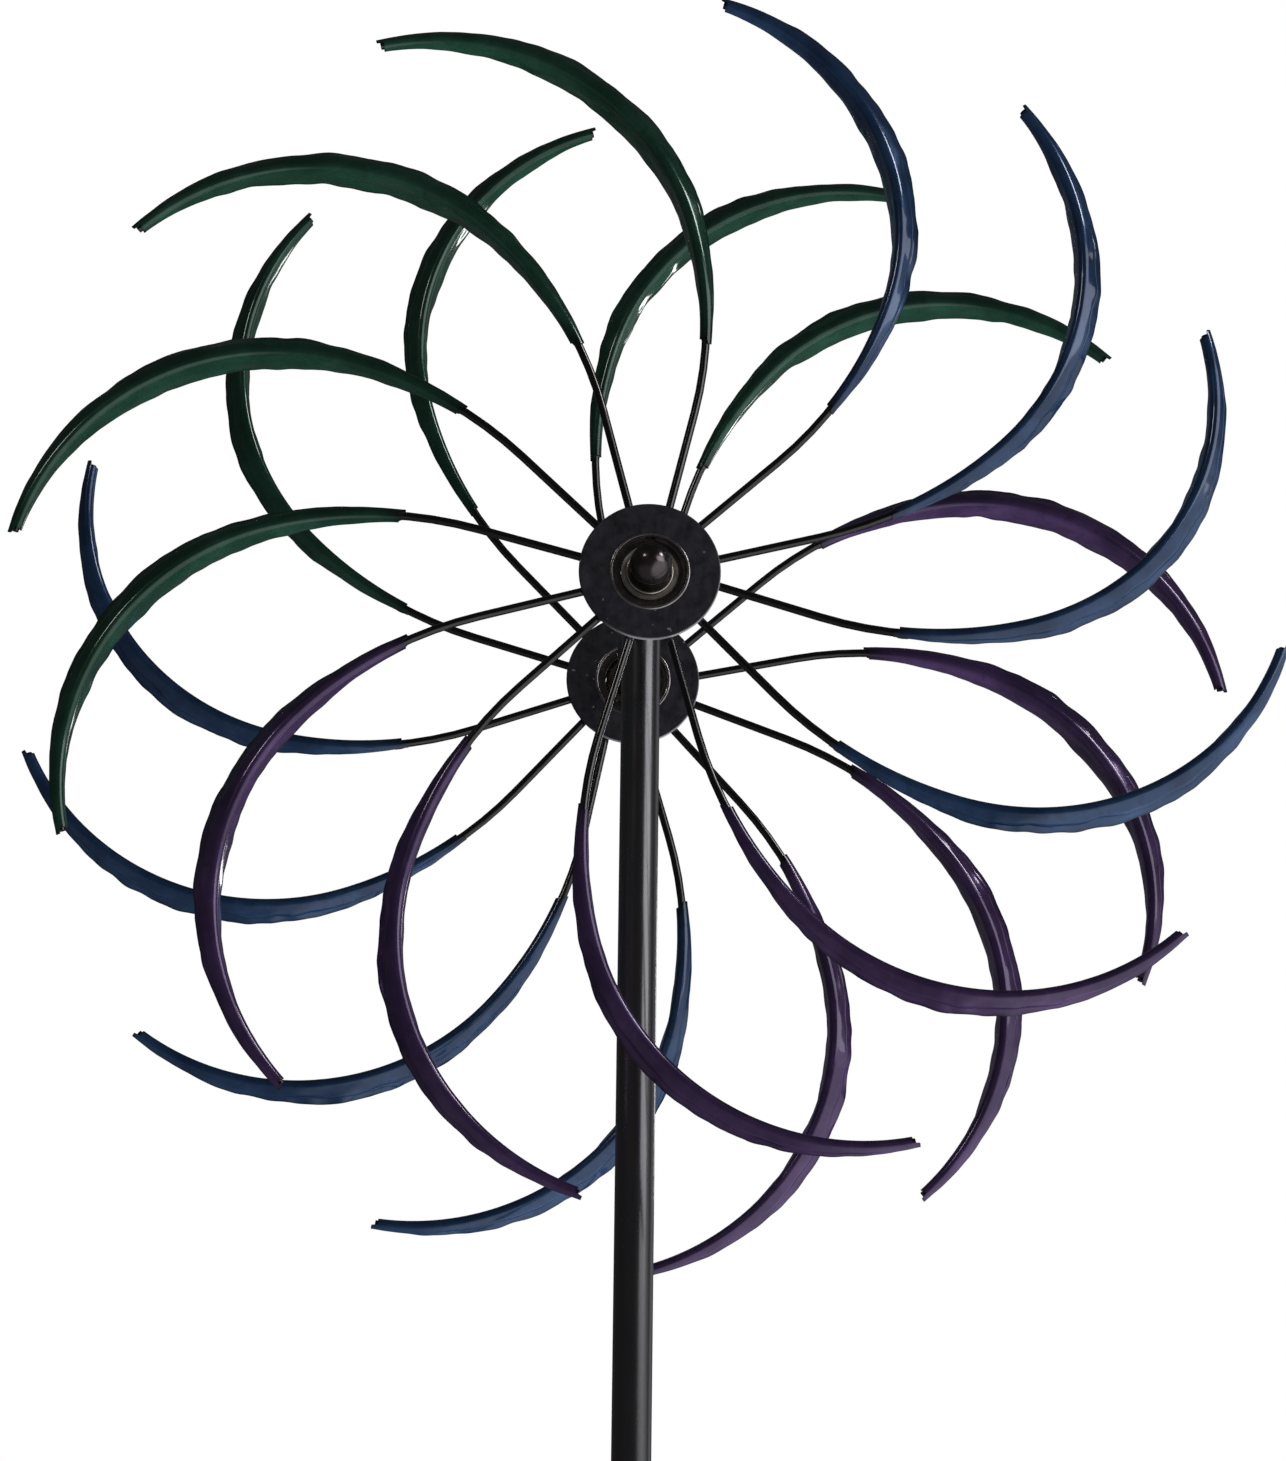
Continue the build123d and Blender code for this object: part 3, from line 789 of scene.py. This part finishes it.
def weld_lump(name, beads, seed, mirror, place):
    """Several rough weld beads in one mesh; each is (middle, three half axes)."""
    mesh = bmesh.new()
    for index, (middle, axes) in enumerate(beads):
        made = bmesh.ops.create_icosphere(mesh, subdivisions=3, radius=1.0)
        for vertex in made["verts"]:
            spread = vertex.co * BEAD_CELLS + Vector((index * 5.0, seed, 0.0))
            rough = 1.0 + BEAD_ROUGHNESS * noise.noise(spread)
            spot = middle + sum((axis * part for axis, part in zip(axes, vertex.co * rough)), Vector())
            vertex.co = Vector((spot.x * mirror, spot.y, spot.z))
    if mirror < 0:
        bmesh.ops.reverse_faces(mesh, faces=mesh.faces)
    data = bpy.data.meshes.new(name)
    mesh.to_mesh(data)
    mesh.free()
    data.shade_smooth()
    data.transform(place)
    return data


def half_axes(axes, sizes):
    """Unit axes stretched to a bead's half sizes."""
    return [axis * size for axis, size in zip(axes, sizes)]


def weld_beads(path):
    """Beads that hold one rod to the cup and the sheet to its rod."""
    beads = []
    point, outside, behind, along = path.section(0.0)
    root = point - along * (RIM_RADIUS - ROOT_RADIUS)
    axes = (along, outside, behind)
    for side in (-1, 1):
        spot = root + outside * (side * ROD_RADIUS * 0.95) + behind * (0.3 * ROD_RADIUS)
        beads.append((spot, half_axes(axes, ROOT_SIDE_BEAD)))
    beads.append((root + behind * ROD_RADIUS * 1.05, half_axes(axes, ROOT_BACK_BEAD)))
    for distance in SHEET_WELDS:
        point, outside, behind, along = path.section(distance)
        axes = (along, outside, behind)
        for side in (-1, 1):
            spot = point + outside * (side * ROD_RADIUS * 0.75) + behind * (ROD_RADIUS * 0.8)
            beads.append((spot, half_axes(axes, SHEET_BEAD)))
    return beads


def add_blades():
    """Twelve hammered blades per rotor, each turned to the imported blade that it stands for."""
    for side, blades in BLADES_OF_SIDE.items():
        mirror = MIRROR_OF_SIDE[side]
        body = BODY_OF_SIDE[side]
        rotor_y = box_centre(f"{side}_hub_disc").y + HUB_DISC_FORWARD
        for number, (colour, lean, slack) in enumerate(blades, start=1):
            node = f"{side}_blade_{number:02d}"
            seed = number * SEED_STEP + FIRST_SEED_OF_SIDE[side]
            path = BladePath(lean, slack)
            data = build_blade(f"{side}_hammered_blade_{number:02d}", path, seed, mirror)
            packed_angle = angle_round_axle(middle_of(NODES[node].data), HUB_CENTRE.z)
            turn = packed_angle - angle_round_axle(middle_of(data), 0.0)
            place = Matrix.Translation((0.0, rotor_y, HUB_CENTRE.z)) @ Matrix.Rotation(-turn, 4, "Y")
            data.transform(place)
            piece = add_object(data.name, data, body, MATERIALS[colour])
            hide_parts(node)
            beads = weld_lump(f"{side}_weld_beads_{number:02d}", weld_beads(path), seed, mirror, place)
            add_object(beads.name, beads, body, MATERIALS["weld"])


# =============================== bearings ===============================


def turned_ring(name, profile, centre, unevenness=0.0, seed=0.0, segments=120):
    """Ring lathed round the axle from (radius, forward) points; unevenness is how rough its surface is."""
    mesh = bmesh.new()
    loops = []
    for step in range(segments):
        angle = 2 * pi * step / segments
        loop = []
        for radius, forward in profile:
            swell = noise.noise(Vector((cos(angle) * radius * 420, sin(angle) * radius * 420, seed)))
            lift = forward + unevenness * swell
            place = centre + Vector((radius * cos(angle), -lift, radius * sin(angle)))
            loop.append(mesh.verts.new(place))
        loops.append(loop)
    count = len(profile)
    for step in range(segments):
        first, second = loops[step], loops[(step + 1) % segments]
        for index in range(count):
            following = (index + 1) % count
            mesh.faces.new((first[index], second[index], second[following], first[following]))
    bmesh.ops.recalc_face_normals(mesh, faces=mesh.faces)
    data = bpy.data.meshes.new(name)
    mesh.to_mesh(data)
    mesh.free()
    data.shade_smooth()
    data.set_sharp_from_angle(angle=radians(40.0))
    return data


def ring_section(inner, outer, surface, depth, steps):
    """Closed section of a ring: a surface of (share, height) steps and a flat back."""
    profile = [(inner + (outer - inner) * share, surface + height) for share, height in steps]
    return profile + [(outer, surface - depth), (inner, surface - depth)]


def face_centre(node):
    """Point of the axle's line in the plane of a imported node's front face."""
    return Vector((0.0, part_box(node)[0][1], HUB_CENTRE.z))


def add_shield():
    """Pressed shield over the front bearing, which rises towards its rim."""
    steps = [(0.0, SHIELD_FLAT_HEIGHT), (SHIELD_FLAT_SHARE, SHIELD_FLAT_HEIGHT)]
    for step in range(7):
        share = SHIELD_RISE_SHARE + (1 - SHIELD_RISE_SHARE) * step / 6
        steps.append((share, SHIELD_RISE * (step / 6) ** 1.5))
    profile = ring_section(SHIELD_INNER, SHIELD_OUTER, -SHIELD_RECESS, SHIELD_THICKNESS, steps)
    shield = turned_ring("front_bearing_shield", profile, face_centre("front_outer_race"))
    add_object(shield.name, shield, BODY_OF_SIDE["front"], MATERIALS["shield"])


def add_washer_lip():
    """Bright rounded lip on the face of the front washer, near its rim."""
    steps = [(step / 10, WASHER_LIP_HEIGHT * sin(pi * step / 10)) for step in range(11)]
    profile = ring_section(WASHER_LIP_INNER, WASHER_LIP_OUTER, 0.0, WASHER_LIP_DEPTH, steps)
    lip = turned_ring("front_washer_lip", profile, face_centre("front_washer"))
    add_object(lip.name, lip, "mast", MATERIALS["washer_lip"])


def add_grease():
    """Grease round the balls, at both faces of both bearings."""
    steps = [(step / 12, GREASE_HEIGHT * sin(pi * step / 12)) for step in range(13)]
    section = ring_section(GREASE_INNER, GREASE_OUTER, 0.0, GREASE_DEPTH, steps)
    for side in BODY_OF_SIDE:
        low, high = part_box(f"{side}_outer_race")
        for face, way, end in ((low[1], 1.0, "front"), (high[1], -1.0, "back")):
            centre = Vector((0.0, face + way * GREASE_RECESS, HUB_CENTRE.z))
            profile = [(radius, forward * way) for radius, forward in section]
            name = f"{side}_grease_{end}"
            ring = turned_ring(name, profile, centre, GREASE_UNEVENNESS, seed=face / MM)
            add_object(ring.name, ring, f"{side}_ball_train", MATERIALS["grease"])


# =============================== stage ===============================


def add_camera():
    """Camera below the hub, looking up at it from the front."""
    yaw, pitch, roll = radians(CAMERA_YAW), radians(CAMERA_PITCH), radians(CAMERA_ROLL)
    ahead = Vector((sin(yaw) * cos(pitch), cos(yaw) * cos(pitch), sin(pitch)))
    level = Vector((cos(yaw), -sin(yaw), 0.0))
    above = level.cross(ahead)
    right = level * cos(roll) + above * sin(roll)
    up = above * cos(roll) - level * sin(roll)
    data = bpy.data.cameras.new("camera")
    data.sensor_width = SENSOR_SIZE
    data.lens = CAMERA_LENS
    data.clip_end = CAMERA_REACH
    camera = bpy.data.objects.new("camera", data)
    bpy.context.scene.collection.objects.link(camera)
    turn = Matrix((right, up, -ahead)).transposed().to_4x4()
    camera.matrix_world = Matrix.Translation(HUB_CENTRE + Vector(CAMERA_OFFSET)) @ turn
    bpy.context.scene.camera = camera


def add_soft_box(name, place, width, height, power, tint):
    """Soft box that faces the hub."""
    data = bpy.data.lights.new(name, "AREA")
    data.shape = "RECTANGLE"
    data.size = width
    data.size_y = height
    data.energy = power
    data.color = tint
    light = bpy.data.objects.new(name, data)
    bpy.context.scene.collection.objects.link(light)
    spot = HUB_CENTRE + Vector(place)
    aim = (HUB_CENTRE - spot).to_track_quat("-Z", "Y")
    light.matrix_world = Matrix.Translation(spot) @ aim.to_matrix().to_4x4()
    return light


def add_world():
    """Dim plain surroundings with the soft glows, most of them low down, that the lacquer mirrors."""
    world = bpy.data.worlds.new("surroundings")
    bpy.context.scene.world = world
    world.use_nodes = True
    nodes = world.node_tree.nodes
    links = world.node_tree.links
    nodes.clear()
    place = nodes.new("ShaderNodeTexCoord").outputs["Generated"]
    background = nodes.new("ShaderNodeBackground")
    background.inputs["Color"].default_value = (*SURROUNDINGS_TINT, 1.0)
    total = None
    for direction, begins, full, glow in SOFT_GLOWS:
        facing = nodes.new("ShaderNodeVectorMath")
        facing.operation = "DOT_PRODUCT"
        facing.inputs[1].default_value = Vector(direction).normalized()
        links.new(place, facing.inputs[0])
        lobe = nodes.new("ShaderNodeMapRange")
        lobe.interpolation_type = "SMOOTHSTEP"
        lobe.inputs["From Min"].default_value = begins
        lobe.inputs["From Max"].default_value = full
        lobe.inputs["To Max"].default_value = glow
        links.new(facing.outputs["Value"], lobe.inputs["Value"])
        adding = nodes.new("ShaderNodeMath")
        adding.inputs[1].default_value = DIM_SURROUNDINGS
        links.new(lobe.outputs["Result"], adding.inputs[0])
        if total:
            links.new(total, adding.inputs[1])
        total = adding.outputs["Value"]
    links.new(total, background.inputs["Strength"])
    output = nodes.new("ShaderNodeOutputWorld")
    links.new(background.outputs["Background"], output.inputs["Surface"])


def add_backdrop():
    """Large pale dome that only the camera sees."""
    mesh = bmesh.new()
    bmesh.ops.create_uvsphere(mesh, u_segments=64, v_segments=32, radius=BACKDROP_RADIUS)
    data = bpy.data.meshes.new("backdrop")
    mesh.to_mesh(data)
    mesh.free()
    data.shade_smooth()
    backdrop = bpy.data.objects.new("backdrop", data)
    bpy.context.scene.collection.objects.link(backdrop)
    data.materials.append(backdrop_light("backdrop"))
    backdrop.visible_diffuse = False
    backdrop.visible_glossy = False
    backdrop.visible_transmission = False
    backdrop.visible_shadow = False


def add_floor():
    """Plain pale floor under the stake's point, which neither darkens nor tints the object."""
    low = size_at_load[0]
    mesh = bmesh.new()
    bmesh.ops.create_circle(mesh, cap_ends=True, segments=96, radius=FLOOR_RADIUS)
    data = bpy.data.meshes.new("floor")
    mesh.to_mesh(data)
    mesh.free()
    floor = bpy.data.objects.new("floor", data)
    floor.location = (0.0, 0.0, low[2] - FLOOR_GAP)
    bpy.context.scene.collection.objects.link(floor)
    data.materials.append(floor_paint("floor"))
    floor.visible_glossy = False
    floor.visible_diffuse = False
    floor.visible_shadow = False


def add_stage():
    """Camera, lights, surroundings, backdrop and floor."""
    add_camera()
    add_world()
    add_backdrop()
    add_floor()
    for box in HIGHLIGHT_BOXES:
        add_soft_box(*box).visible_diffuse = False
    for box in PAINT_BOXES:
        add_soft_box(*box).visible_glossy = False
    bpy.context.scene.view_settings.view_transform = "Standard"


dress_packed_nodes()
add_blades()
add_shield()
add_washer_lip()
add_grease()
add_stage()
